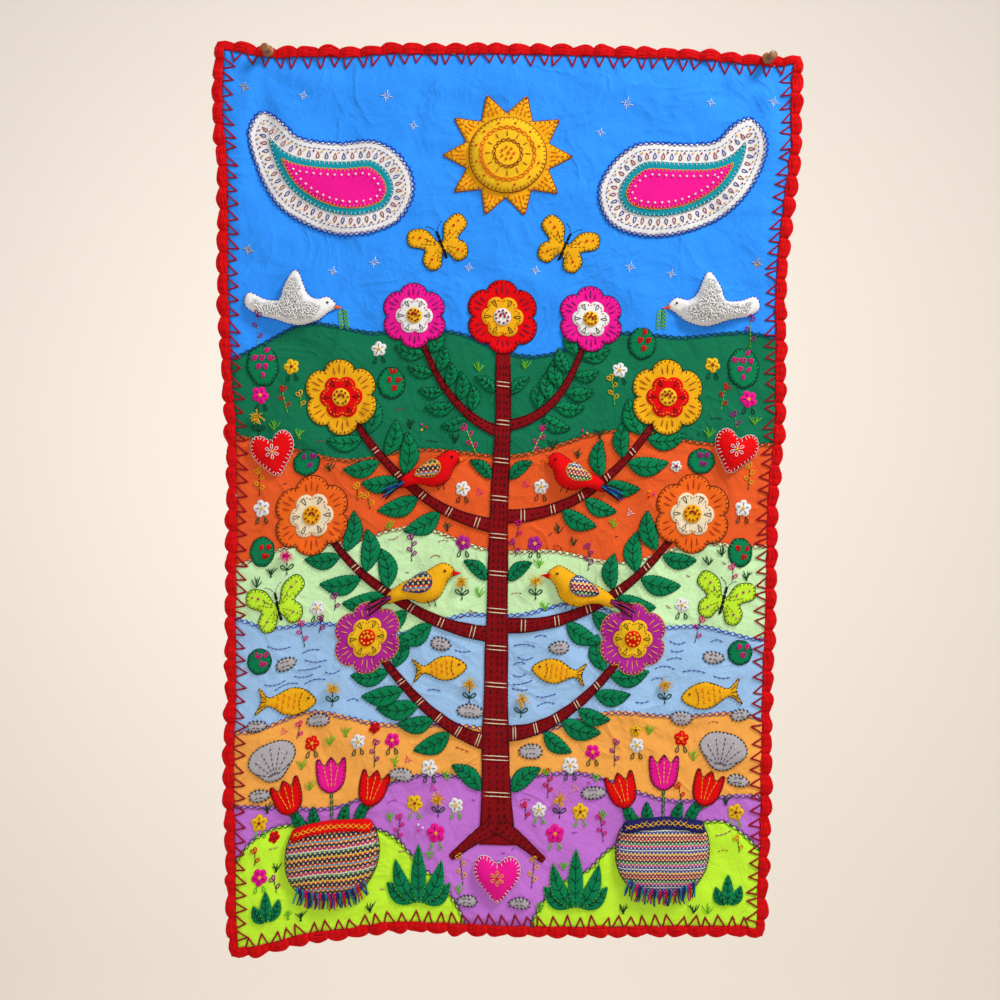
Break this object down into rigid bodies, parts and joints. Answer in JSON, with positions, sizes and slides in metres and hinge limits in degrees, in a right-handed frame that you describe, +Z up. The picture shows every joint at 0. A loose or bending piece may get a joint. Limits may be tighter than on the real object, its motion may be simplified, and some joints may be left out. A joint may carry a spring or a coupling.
{
  "type": "embroidered wall hanging with push pins",
  "caption": "Flat embroidered cloth wall hanging with sewn-on felt shapes, stuffed pieces and a scalloped crocheted edging, held up by wooden push pins through its top band.",
  "frame": {"origin": "in the plane of the support that the needles go into, midway between the two push pins", "axes": "+Z up, +X to the right for someone facing the hanging, +Y into the support; the worked face looks along -Y"},
  "size_m": [0.5915, 0.0277, 0.9159],
  "materials": {
    "cotton_blue": "plain-weave cotton, matt",
    "wool_red": "crocheted wool yarn, plump and matt",
    "felt_brown": "wool felt, matt",
    "felt_yellow": "wool felt, matt",
    "felt_white": "wool felt, matt",
    "felt_red": "wool felt, matt",
    "felt_pink": "wool felt, matt",
    "felt_orange": "wool felt, matt",
    "felt_purple": "wool felt, matt",
    "felt_lime": "wool felt, matt",
    "felt_grey": "wool felt, matt",
    "felt_green": "wool felt, matt",
    "thread": "stranded embroidery thread, slight sheen",
    "woven_stripe": "handwoven striped wool, matt",
    "pin_wood": "turned wood, satin varnish",
    "pin_steel": "bright steel"
  },
  "bodies": {
    "root": {"blossom_low_left": "felt_purple", "blossom_low_right": "felt_purple", "blossom_mid_left": "felt_yellow", "blossom_mid_right": "felt_yellow", "blossom_top": "felt_red", "blossom_upper_left": "felt_pink", "blossom_upper_right": "felt_pink", "blossom_wide_left": "felt_orange", "blossom_wide_right": "felt_orange", "butterfly_lower_left": "felt_lime", "butterfly_lower_right": "felt_lime", "butterfly_upper_left": "felt_yellow", "butterfly_upper_right": "felt_yellow", "crochet_edging": "wool_red", "dove_left": "felt_white", "dove_right": "felt_white", "fish_inner_left": "felt_yellow", "fish_inner_right": "felt_yellow", "fish_left": "felt_yellow", "fish_right": "felt_yellow", "ground": "cotton_blue", "heart_base": "felt_pink", "heart_left": "felt_red", "heart_right": "felt_red", "paisley_left": "felt_white", "paisley_right": "felt_white", "pin_head_left": "pin_wood", "pin_head_right": "pin_wood", "pin_needle_left": "pin_steel", "pin_needle_right": "pin_steel", "pot_left": "woven_stripe", "pot_right": "woven_stripe", "shell_left": "felt_grey", "shell_right": "felt_grey", "songbird_lower_left": "felt_yellow", "songbird_lower_right": "felt_yellow", "songbird_upper_left": "felt_red", "songbird_upper_right": "felt_red", "sun_disc": "felt_yellow", "sun_rays": "felt_yellow", "tree": "felt_brown", "tulip_left_inner": "felt_red", "tulip_left_middle": "felt_pink", "tulip_left_outer": "felt_red", "tulip_right_inner": "felt_red", "tulip_right_middle": "felt_pink", "tulip_right_outer": "felt_red"}
  },
  "joints": []
}
